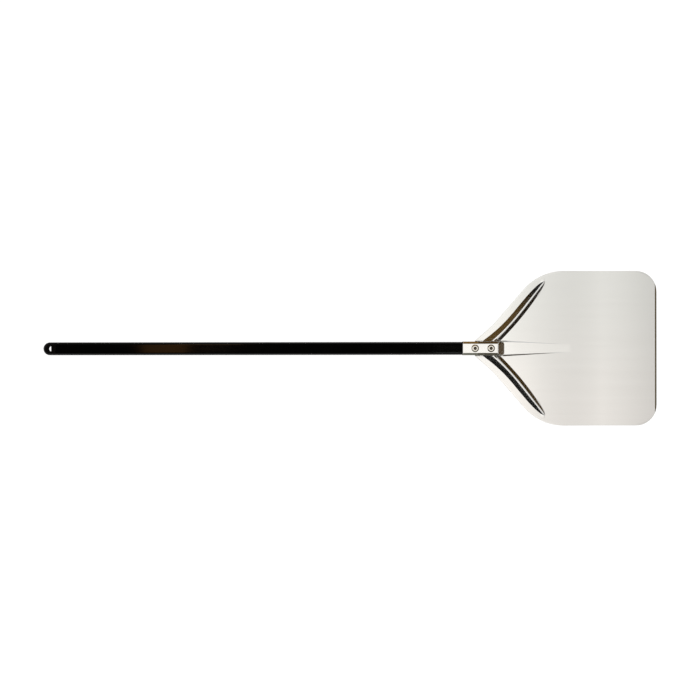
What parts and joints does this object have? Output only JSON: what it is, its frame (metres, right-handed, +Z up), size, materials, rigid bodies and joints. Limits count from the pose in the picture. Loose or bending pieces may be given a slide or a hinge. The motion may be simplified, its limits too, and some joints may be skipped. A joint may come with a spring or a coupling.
{
  "type": "pizza peel",
  "caption": "Long-handled pizza peel: flat pressed-sheet blade with diagonal stiffening ribs, riveted to a black rounded tube handle with a hanging hole.",
  "frame": {"origin": "middle of the length and width, on the plane of the blade's flat underside", "axes": "+X from the handle to the blade's front edge, +Y across the blade, +Z up from the underside to the side that carries the pizza"},
  "size_m": [1.303, 0.33, 0.0265],
  "materials": {
    "blade_sheet": "fine brushed satin",
    "ferrule_metal": "polished",
    "handle_black": "gloss black",
    "cap_black": "gloss",
    "rivet_metal": "bright",
    "rivet_steel": "zinc plated"
  },
  "bodies": {
    "root": {"blade": "blade_sheet", "neck_ferrule": "ferrule_metal", "handle_tube": "handle_black", "end_cap": "cap_black", "rivet_bodies": "rivet_metal", "rivet_mandrels": "rivet_steel", "rivet_spacers": "rivet_metal", "rivet_washers": "rivet_steel"}
  },
  "joints": []
}
